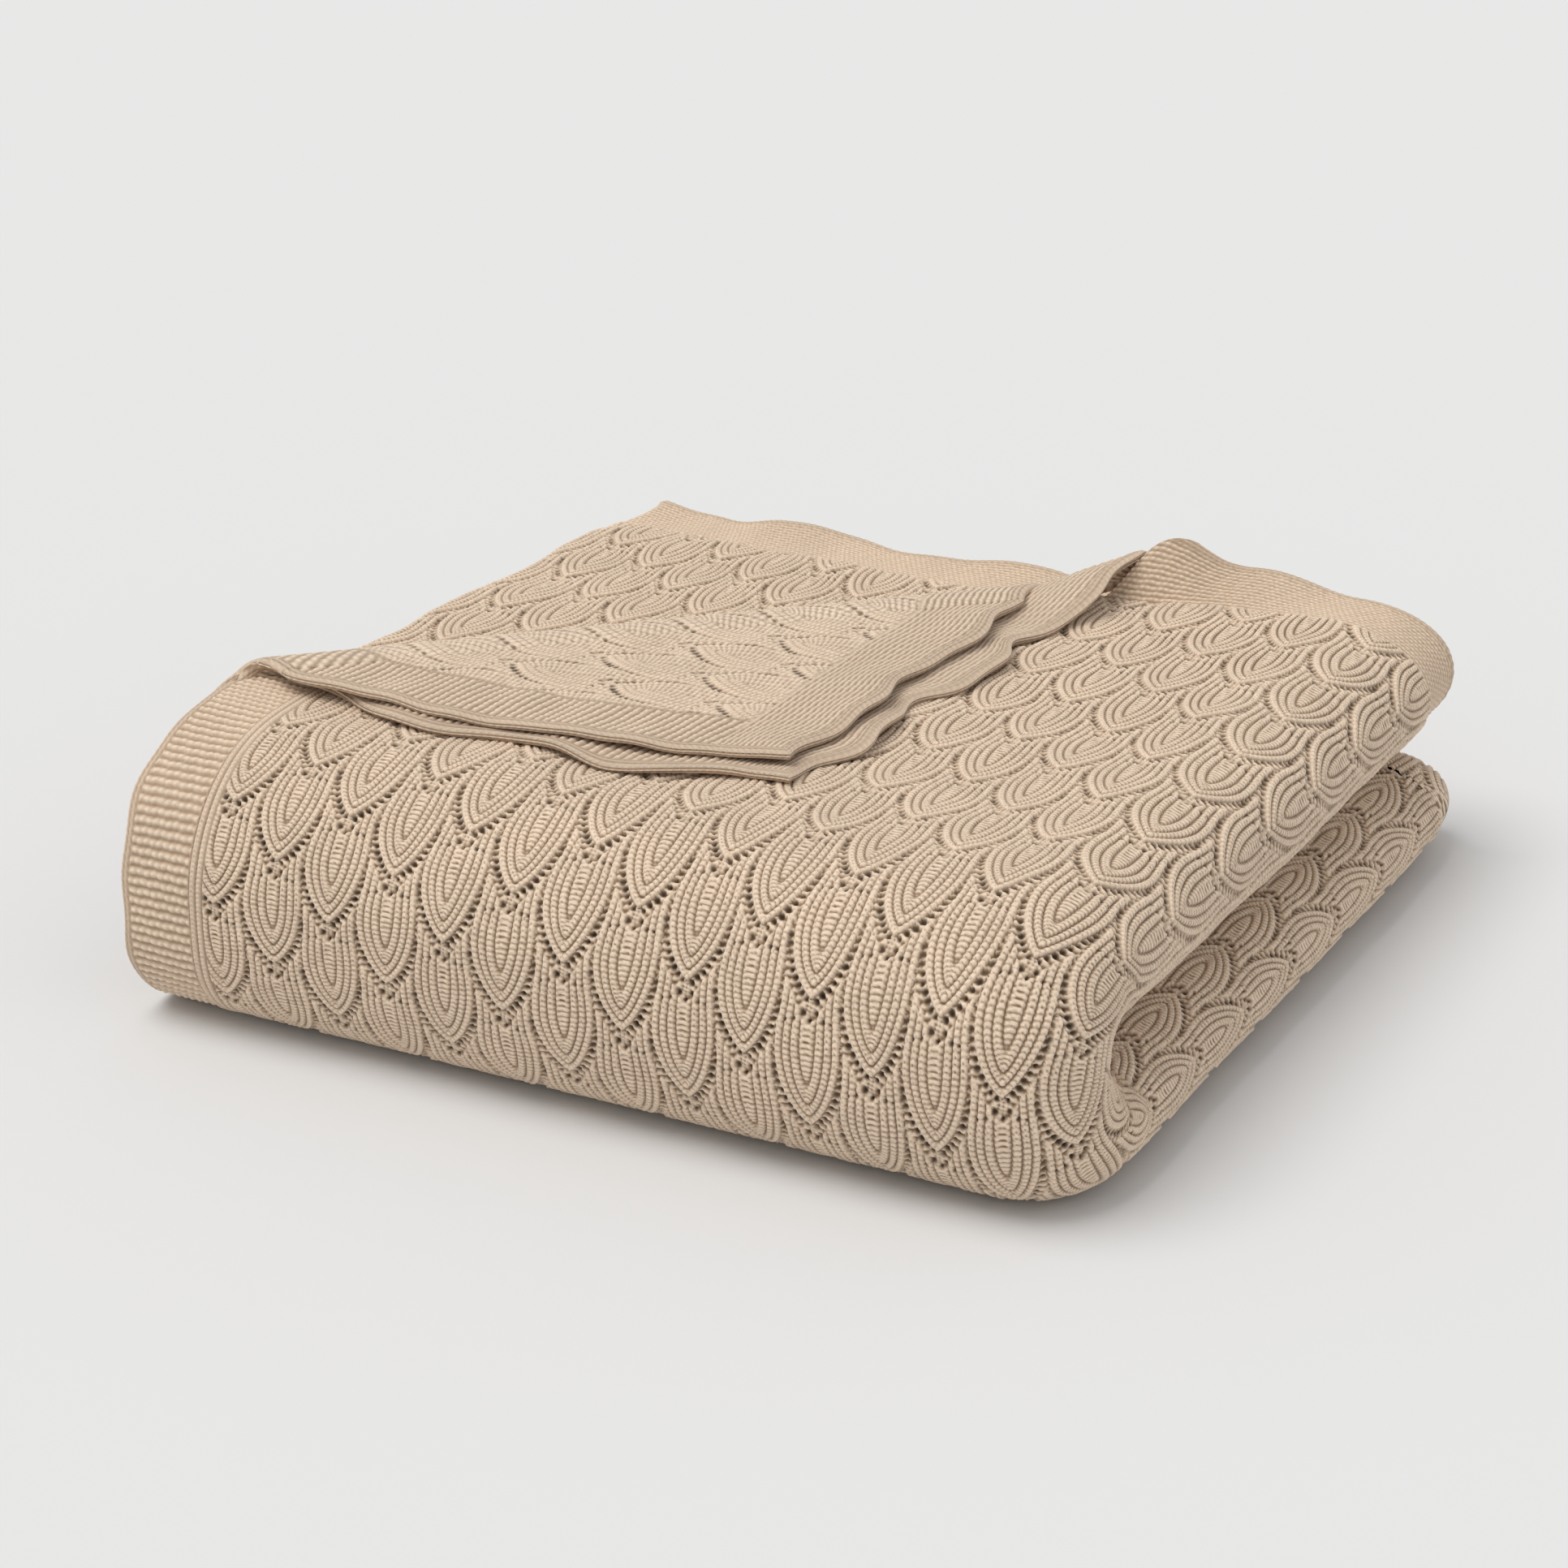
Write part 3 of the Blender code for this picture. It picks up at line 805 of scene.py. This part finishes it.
def fold_strip(name, layer):
    """The bend of a layer along the fold line."""
    reach = 0.00425 if layer == 1 else 0.0235
    es = np.arange(-1, 1.0001, 1 / 14 if layer == 1 else 1 / 34)
    n_t = int(0.40 / STEP)
    share = np.linspace(0, 1, n_t)
    k, e0 = (0.085, 0.1270 + 0.085 * 0.189) if layer == 1 else (0.020, 0.1215 + 0.020 * 0.180)
    X, Y = np.zeros((len(es), n_t)), np.zeros((len(es), n_t))
    for i, q in enumerate(es):
        e = q * reach * ROOT2
        t_hi = (2 * e0 - (e + FOLD_C) * (1 + k)) / (1 - k)      # times root two
        yl = 0.0
        for _ in range(30):
            xl = -HALF_X - side_out(layer, yl)
            yl = 0.5 * yl + 0.5 * (xl + FOLD_C + e)
        t = (xl + yl) + (t_hi - xl - yl) * share
        if layer == 1:                     # the bend is wider at both ends of the fold
            wide = fold_reach(t / ROOT2) / fold_reach(0.0)
            e = q * reach * ROOT2 * (wide if q < 0 else np.maximum(1.0, wide))
        X[i], Y[i] = (t - e - FOLD_C) / 2, (t + e + FOLD_C) / 2
    P, dl, db = bend(layer, X, Y)
    face = cloth(X, Y, dl, db)
    rear = cloth(X, Y, dl, db, rear=True)
    rim = np.minimum(np.maximum(dl, 0), np.maximum(db, 0))
    turned = smooth((Y - X - FOLD_C) / ROOT2, -reach, reach)
    thick = ((LAYER - 0.0010) * (1 - turned) + (TURNED - 0.0011) * turned) * rim_shape(rim, 0.0022)
    N = grid_normals(P)
    mid = len(es) // 2
    out_dir = np.array([-1, 1, 0]) / ROOT2
    if np.mean(np.sum(N[mid] * out_dir, -1)) < 0:
        P, thick, X, Y = [v[:, ::-1] for v in (P, thick, X, Y)]
        face, rear = [tuple(v[:, ::-1] for v in k3) for k3 in (face, rear)]
    return closed_sheet(name, P, thick, faint(rear, 0.35), faint(face, 0.25), cloth_uv(X, Y), LACE)


lower_flap = turned_flap("corner_lower_lace", 1, 300)
upper_flap = turned_flap("corner_upper_lace", 2, 400)
add(lower_flap, "corner", "lace_knit")
add(upper_flap, "corner", "lace_knit")
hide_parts("corner_lower_panel", "corner_lower_side_band", "corner_lower_end_band")
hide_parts("corner_upper_panel", "corner_upper_side_band", "corner_upper_end_band")


def blend_piece(obj):
    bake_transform(obj)


strip1 = fold_strip("corner_fold_outer_layer", 1)
strip2 = fold_strip("corner_fold_second_layer", 2)
blend_piece(strip1)
blend_piece(strip2)


# ------------------------------------------------------------------ borders of the outer layer
def wrap_line(x, run):
    """Outer surface at plan x (flat part) and a distance along the outer run, and its fabric place."""
    y, z, _, _, _, fabric, _ = outline(run)
    return np.stack([x, y, z], -1), fabric


def side_border(name, depth, inset, coarse, run_end, wave):
    n = max(6, int(BAND / coarse))
    xs = -HALF_X + inset + BAND * np.linspace(0, 1.0, n + 1)[None, :]
    t_guess = (2 * xs + FOLD_C) / ROOT2
    a = fold_reach(t_guess) if depth == 0 else 0.004
    run0 = ARC_Y - (xs + FOLD_C - ROOT2 * a) - 0.0004
    share = np.linspace(0, 1, int(0.42 / coarse))[:, None]
    run = run0 + (run_end - run0) * share
    P, fabric = wrap_line(xs + 0 * run, run)
    P = settle(P)
    N = grid_normals(P)
    P = P - N * (depth + LAYER / 2)
    dl = xs + HALF_X - inset + 0 * run
    out = wave * (0.6 * np.sin(run / 0.071 * 6.283) + 0.4 * np.sin(run / 0.033 * 6.283 + 1.0))
    P[..., 0] += out * np.exp(-dl / 0.012)
    knit = cloth(xs + 0 * run, fabric, dl, 1 + 0 * run, skew=0 * run)
    knit = faint(knit, 0.4 + 0.6 * smooth(P[..., 2], 0.003, 0.008))
    thick = LAYER * rim_shape(dl, 0.0026) * 0.98
    return closed_sheet(name, P, thick, knit, faint(knit, 0.3), cloth_uv(xs + 0 * run, fabric), BORDER)


def end_border(name, depth, inset, coarse, roll_part=1.0):
    n_w = max(8, int(BAND / coarse))
    w = np.linspace(0, BAND + 0.0004, n_w + 1)[:, None]
    n_flat, n_roll = int(0.11 / coarse), int(0.105 * roll_part / coarse)
    ang = roll_angles(n_roll)
    ang = ang * roll_part
    share = np.concatenate([np.linspace(0, 1, n_flat), np.ones(n_roll - 1)])[None, :]
    phi = np.concatenate([np.zeros(n_flat), ang[1:]])[None, :]
    a = fold_reach(FOLD_B) if depth == 0 else 0.004
    pull = DRAW * (depth == 0) * (1 - 0.6 * w / BAND)
    x0 = 0.08 + 0 * w
    tuck = 0.0050 * (depth == 0) * (1 - smooth(w, 0.0, 0.024))
    for _ in range(40):
        x0 = 0.5 * x0 + 0.5 * (back_edge(x0) - inset - w - drawn(x0) * pull - FOLD_C + ROOT2 * a)
    xe = HALF_X - ROLL_TOP
    x0 = x0 - tuck
    x = x0 + (xe - x0) * share + ROLL_TOP * np.sin(phi)
    U = x0 + (xe - x0) * share + np.interp(phi, *roll_map())
    Y = back_edge(np.minimum(x, U)) - inset - w
    Y = Y - drawn(x) * pull
    Y = Y + 0.0016 * np.sin(U / 0.060 * 6.283 + 0.5) * np.exp(-w / 0.014)
    k = (1 + np.cos(phi)) / 2
    z0 = top_z(Y)
    P = np.stack([x, Y, CREASE_TOP + (z0 - CREASE_TOP) * k], -1)
    # the border stands up a little towards the fold and waves along its edge
    rise = raised(x) * (depth == 0)
    lift = (rise * (1 - w / BAND) + 0.0007 * (1 + np.sin(U / 0.052 * 6.283)) * np.exp(-w / 0.016))
    lift = lift * (phi < 1.2)
    P = settle(P)
    P, others = oriented(P, [U, Y, w + 0 * x, lift + 0 * x], np.array([0, 0, 1.0]) * (phi < 1.0)[..., None])
    U, Y, w, lift = others
    N = grid_normals(P)
    P = P - N * (depth + LAYER / 2) + N * lift[..., None]
    db = w
    knit = cloth(U, Y, 1 + 0 * U, np.maximum(db, 0) + 0 * U)
    thick = LAYER * rim_shape(db, 0.0026) * 0.98
    return closed_sheet(name, P, thick, knit, faint(knit, 0.3), cloth_uv(U, Y), BORDER)


add(side_border("outer_side_border", 0, 0, STEP, ARC_LEN + 0.30, 0.0012), "pad", "border_knit",
    "top_layer_side_band")
add(end_border("outer_end_border", 0, 0, STEP), "pad", "border_knit", "top_layer_end_band")
add(side_border("second_side_border", PITCH, 0.0016, HIDDEN_STEP, ARC_LEN + 0.29, 0.0014), "pad",
    "border_knit", "second_layer_side_band")
add(end_border("second_end_border", PITCH, 0.0030, HIDDEN_STEP, 0.85), "pad", "border_knit",
    "second_layer_end_band")


# ------------------------------------------------------------------ layers below
def second_layer():
    runs = np.arange(-(0.12 - ARC_Y), ARC_LEN + 0.29, 0.003)
    y_of = np.where(runs < 0, ARC_Y - runs, -1.0)
    x_left = np.maximum(-HALF_X + BAND, y_of - FOLD_C + 0.002)
    P, U, V, _ = wrap_grid(runs, np.linspace(0, 1, 100), 26, x_left)
    N = grid_normals(P)
    P = P - N * (PITCH + LAYER / 2)
    P, (U, V) = P[:, :-4], (U[:, :-4], V[:, :-4])
    flat = np.zeros_like(U)
    # no relief, and an even painted shading of 0.6
    knit = (flat, flat, flat + 0.6)
    return closed_sheet("second_layer_lace", P, LAYER * 0.95 + flat, knit, knit, cloth_uv(U, V), LACE)


add(second_layer(), "pad", "lace_knit", "second_layer_panel")


def left_slant(P):
    """The doubled sheet's left fold is not quite square to the front."""
    x, y = P[..., 0], P[..., 1]
    move = 0.011 * smooth(y, -0.06, 0.13) + 0.009 * smooth(y, 0.12, 0.175)
    return np.stack([move * (1 - smooth(x, -0.19, -0.06)), 0 * x, 0 * x], -1)


def inner_fold():
    """Doubled sheet inside the outer two; its rounded left fold shows beside the turned corner."""
    depth, half = 2 * PITCH + 0.0002, DOUBLE / 2
    objs = []
    # visible part on top, folded round at the left
    ys = np.arange(-0.120, 0.1455, STEP)
    nr = 26
    ang = np.linspace(math.pi, 0, nr)          # from below, round the left, to the top
    flat_low = np.linspace(0.020, 0.0, 8)[:-1]
    flat_top = np.arange(0.0, 0.262, STEP)[1:]
    s_pos = np.concatenate([-(flat_low + math.pi * half), -ang * half, flat_top])
    x = np.concatenate([flat_low, -half * np.sin(ang), flat_top])
    dz = np.concatenate([-DOUBLE + 0 * flat_low, -half + half * np.cos(ang), 0 * flat_top])
    Yg, Xg = np.meshgrid(ys, x - HALF_X + 0.004 + half, indexing="ij")
    Zg = top_z(Yg) - depth + np.broadcast_to(dz, Xg.shape)
    U = np.broadcast_to(s_pos - HALF_X + 0.004 + half + 0.014, Xg.shape)
    sway = 0.0016 * np.sin(Yg / 0.085 * 6.283 + 2.2) * np.exp(-(Xg + HALF_X) / 0.03)
    P = np.stack([Xg + sway, Yg, Zg + 0.0006 * ripple(Xg, Yg, 0.06, 7.0)], -1)
    P, (U, V) = oriented(P, [U, Yg], np.array([0, 0, 1.0]) * (dz > -0.001)[None, :, None])
    P = P + left_slant(P)
    knit = cloth(U, V, 1 + 0 * U, 1 + 0 * U)
    half_way = P.shape[1] // 2
    objs.append(open_sheet("inner_fold_lace_left", P, knit, cloth_uv(U, V), LACE, 0, half_way + 1))
    objs.append(open_sheet("inner_fold_lace_right", P, knit, cloth_uv(U, V), LACE, half_way))
    # its end border
    w = np.arange(0, BAND + 0.0005, STEP)
    Wg, Xg2 = np.meshgrid(w, x[::1] - HALF_X + 0.004 + half, indexing="ij")
    S2 = np.broadcast_to(s_pos, Wg.shape)
    edge = 0.1745 + 0.0022 * np.sin(Xg2 / 0.104 * 6.283 + 0.6) + 0.0007 * np.sin(Xg2 / 0.041 * 6.283)
    Y2 = edge - Wg * (edge - 0.1440) / BAND
    hump = 0.0036 * (0.5 + 0.5 * np.sin(Xg2 / 0.104 * 6.283 + 1.3)) * np.exp(-Wg / 0.02)
    Z2 = top_z(Y2) - depth + np.broadcast_to(dz, Wg.shape)
    topside = smooth(np.broadcast_to(dz, Wg.shape), -0.006, 0.0)
    P2 = np.stack([Xg2 + 0.0016 * np.sin(Y2 / 0.085 * 6.283 + 2.2) * np.exp(-(Xg2 + HALF_X) / 0.03),
                   Y2, Z2 + hump * topside + 0.0006 * ripple(Xg2, Y2, 0.06, 7.0)], -1)
    P2, (S2, W2, Y3) = oriented(P2, [S2, Wg, Y2], np.array([0, 0, 1.0]) * topside[..., None])
    P2 = P2 + left_slant(P2)
    N2 = grid_normals(P2)
    knit = cloth(S2, Y3, 1 + 0 * S2, W2 + 0 * S2)
    thick = LAYER * rim_shape(W2, 0.0026) * 0.98
    objs.append(closed_sheet("inner_fold_end_border", P2 - N2 * (LAYER / 2), thick, knit,
                             faint(knit, 0.3), cloth_uv(S2, Y3), BORDER))
    return objs


in_left, in_right, end_in = inner_fold()
add(in_left, "pad", "lace_knit", "inner_fold_panel")
add(in_right, "pad", "lace_knit")
add(end_in, "pad", "border_knit", "inner_fold_end_band")


def folded_slab(name, x0, x1, y0, y1, z_low, z_high, seed):
    """One doubled layer in the middle of the pad, rounded at its edges."""
    nx, ny = int((x1 - x0) / 0.004), int((y1 - y0) / HIDDEN_STEP)
    tx = np.concatenate([np.linspace(0, 0.012, 14)[:-1], np.linspace(0.012, x1 - x0, nx)])
    ty = np.concatenate([np.linspace(0, y1 - y0 - 0.010, ny // 2)[:-1],
                         np.linspace(y1 - y0 - 0.010, y1 - y0, 12)])
    Y, X = np.meshgrid(y0 + ty, x0 + tx, indexing="ij")
    lo, hi = z_low(Y), z_high(Y)
    dx = np.minimum(X - x0, 0.02)
    dy = np.minimum(y1 - Y, 0.02)
    shape = rim_shape(np.minimum(dx, dy), 0.0055)
    mid = (lo + hi) / 2 + 0.0006 * ripple(X, Y, 0.08, seed)
    sway = 0.0014 * np.sin(Y / 0.09 * 6.283 + seed) * np.exp(-dx / 0.008)
    tuck = 0.0014 * np.sin(X / 0.09 * 6.283 + seed) * np.exp(-dy / 0.008)
    P = np.stack([X + sway, Y + tuck, mid], -1)
    P, (shape, lo, hi, X, Y) = oriented(P, [shape, lo, hi, X, Y], np.array([0, 0, 1.0]))
    knit = faint(cloth(X + 0.01 * seed, Y, 1 + 0 * X, 1 + 0 * X), 0.5)
    return closed_sheet(name, P, (hi - lo) * shape * 0.97, knit, knit, cloth_uv(X, Y), LACE)


CORE = 2 * PITCH + DOUBLE + 0.0003
lowest = CREASE_TOP + 0.004


def between(a, b):
    return (lambda Y: lowest + (top_z(Y) - CORE - 0.0004 - lowest) * a,
            lambda Y: lowest + (top_z(Y) - CORE - 0.0004 - lowest) * b)


for i in range(3):
    lo_f, hi_f = between(i / 3, (i + 1) / 3)
    slab = folded_slab("upper_core_fold_%d" % (i + 1), -HALF_X + 0.006, HALF_X - ROLL_TOP - 0.020,
                       -0.118, 0.172, lo_f, hi_f, 1.3 * i + 0.4)
    add(slab, "pad", "lace_knit")
    if i == 0:
        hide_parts("upper_core")
for i in range(2):
    a0, a1 = CORE + (CREASE_LOW - 0.0006 - CORE) * i / 2, CORE + (CREASE_LOW - 0.0006 - CORE) * (i + 1) / 2
    slab = folded_slab("lower_core_fold_%d" % (i + 1), -HALF_X + 0.006, HALF_X - ROLL_LOW - 0.020,
                       -0.118, LOW_END - 0.0003, lambda Y, a0=a0: a0 + 0 * Y, lambda Y, a1=a1: a1 + 0 * Y,
                       2.1 * i + 3.0)
    add(slab, "pad", "lace_knit")
    if i == 0:
        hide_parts("lower_core")


def lower_inner_fold():
    """The doubled sheet's lower run, seen as a rounded edge on the left."""
    return folded_slab("inner_fold_lower_run", -HALF_X + 0.004, HALF_X - ROLL_LOW - 0.020, -0.118,
                       LOW_END - 0.0003, lambda Y: 2 * PITCH + 0.0002 + 0 * Y,
                       lambda Y: 2 * PITCH + DOUBLE + 0 * Y, 5.0)


add(lower_inner_fold(), "pad", "lace_knit")


def inner_front():
    """The doubled sheet's rounded run inside the front fold."""
    runs = np.arange(-0.004, ARC_LEN + 0.034, HIDDEN_STEP)
    y, z, _, _, _, fabric, _ = outline(runs)
    xs = -HALF_X + 0.004 + np.concatenate([np.linspace(0, 0.012, 12)[:-1], np.linspace(0.012, 0.306, 80)])
    Yg, Xg = np.meshgrid(y, xs, indexing="ij")
    Zg = np.broadcast_to(z[:, None], Yg.shape)
    P = np.stack([Xg, Yg, Zg], -1)
    N = grid_normals(P)
    P = P - N * (2 * PITCH + 0.0002 + DOUBLE / 2)
    shape = rim_shape(Xg + HALF_X - 0.004, 0.0055)
    knit = faint(cloth(Xg, fabric[:, None] + 0 * Xg, 1 + 0 * Xg, 1 + 0 * Xg), 0.5)
    return closed_sheet("inner_fold_front_run", P, DOUBLE * shape * 0.98, knit, knit,
                        cloth_uv(Xg, fabric[:, None] + 0 * Xg), LACE)


add(inner_front(), "pad", "lace_knit")


def back_fold():
    """Rounded fold that closes the lower half at the back."""
    psi = np.linspace(0, math.radians(89.5), int(0.075 / STEP))
    n_flat = int(0.35 / STEP)
    phi = np.concatenate([np.zeros(n_flat), np.linspace(0, math.radians(89.7), int(0.05 / STEP))[1:]])
    share = np.concatenate([np.linspace(0, 1, n_flat), np.ones(len(phi) - n_flat)])
    zc = CREASE_LOW / 2
    out = []
    for sign in (1, -1):
        gp, gf = np.meshgrid(psi, phi, indexing="ij")
        gx = -HALF_X + (2 * HALF_X - ROLL_LOW) * share[None, :]
        gx = gx + (ROLL_LOW + 0.0065) * np.sin(gf) * np.cos(gp) ** 0.5
        gy = LOW_END + (Y_BACK - 0.0012 - LOW_END) * np.sin(gp)
        gz = zc + sign * zc * np.cos(gp) ** 0.9 * np.cos(gf)
        P = np.stack([gx, gy, gz], -1)
        out.append((P, gx, gy))
    (Pt, gx, gy), (Pb, _, _) = out
    P = np.concatenate([Pt, Pb[::-1]], 0)
    arc = np.concatenate([psi * 0.028, (math.pi - psi[::-1]) * 0.028])
    U = np.concatenate([gx, gx[::-1]], 0)
    V = 0.158 + arc[:, None] + 0 * U
    left = rim_shape(U + HALF_X, 0.004)
    inward = (1 - left)[..., None] * 0.004
    P = P + (np.array([0, LOW_END, zc]) - P) * np.array([0, 1, 1]) * inward * 30
    P, (U, V) = oriented(P, [U, V], np.array([0, 1.0, 0]) * np.exp(-((P[..., 2:3] - zc) / 0.01) ** 2))
    knit = cloth(U, V, U + HALF_X, 1 + 0 * U)
    knit = faint(knit, 1 - smooth(U, HALF_X - ROLL_LOW + 0.022, HALF_X + 0.006))
    return open_sheet("lower_back_fold_lace", P, knit, cloth_uv(U, V), LACE)


add(back_fold(), "pad", "lace_knit", "lower_back_fold")


# ------------------------------------------------------------------ room
def room():
    w = 14.0
    mesh = bpy.data.meshes.new("floor")
    mesh.from_pydata([(-w, -w, -0.0004), (w, -w, -0.0004), (w, w, -0.0004), (-w, w, -0.0004)], [],
                     [(0, 1, 2, 3)])
    floor = bpy.data.objects.new("floor", mesh)
    bpy.context.scene.collection.objects.link(floor)
    mat = bpy.data.materials.new("floor")
    mat.use_nodes = True
    bsdf = mat.node_tree.nodes["Principled BSDF"]
    bsdf.inputs["Base Color"].default_value = (0.738, 0.738, 0.738, 1)
    bsdf.inputs["Roughness"].default_value = 1.0
    bsdf.inputs["Specular IOR Level"].default_value = 0.0
    mesh.materials.append(mat)
    world = bpy.data.worlds.new("studio")
    bpy.context.scene.world = world
    world.use_nodes = True
    back = world.node_tree.nodes["Background"]
    back.inputs["Color"].default_value = (0.985, 0.992, 1.0, 1)
    back.inputs["Strength"].default_value = 0.60
    lights = (("key", 1.62, (1.0, 0.985, 0.965), 40, (-0.36, -0.25, 1.0)),
              ("fill", 0.16, (0.98, 0.99, 1.0), 80, (0.9, -0.75, 0.9)))
    for name, strength, colour, spread, toward in lights:
        data = bpy.data.lights.new(name, "SUN")
        data.energy = strength
        data.color = colour
        data.angle = math.radians(spread)
        lamp = bpy.data.objects.new(name, data)
        bpy.context.scene.collection.objects.link(lamp)
        lamp.rotation_euler = Vector(toward).to_track_quat("Z", "Y").to_euler()


room()
camera_data = bpy.data.cameras.new("camera")
camera_data.lens = 111.8
camera_data.sensor_width = 36.0
camera = bpy.data.objects.new("camera", camera_data)
bpy.context.scene.collection.objects.link(camera)
camera.location = (0.7732, -1.5266, 0.8186)
camera.rotation_euler = (math.radians(90 - 23.957), 0, math.radians(27.3))
bpy.context.scene.camera = camera
bpy.context.scene.view_settings.view_transform = "Standard"
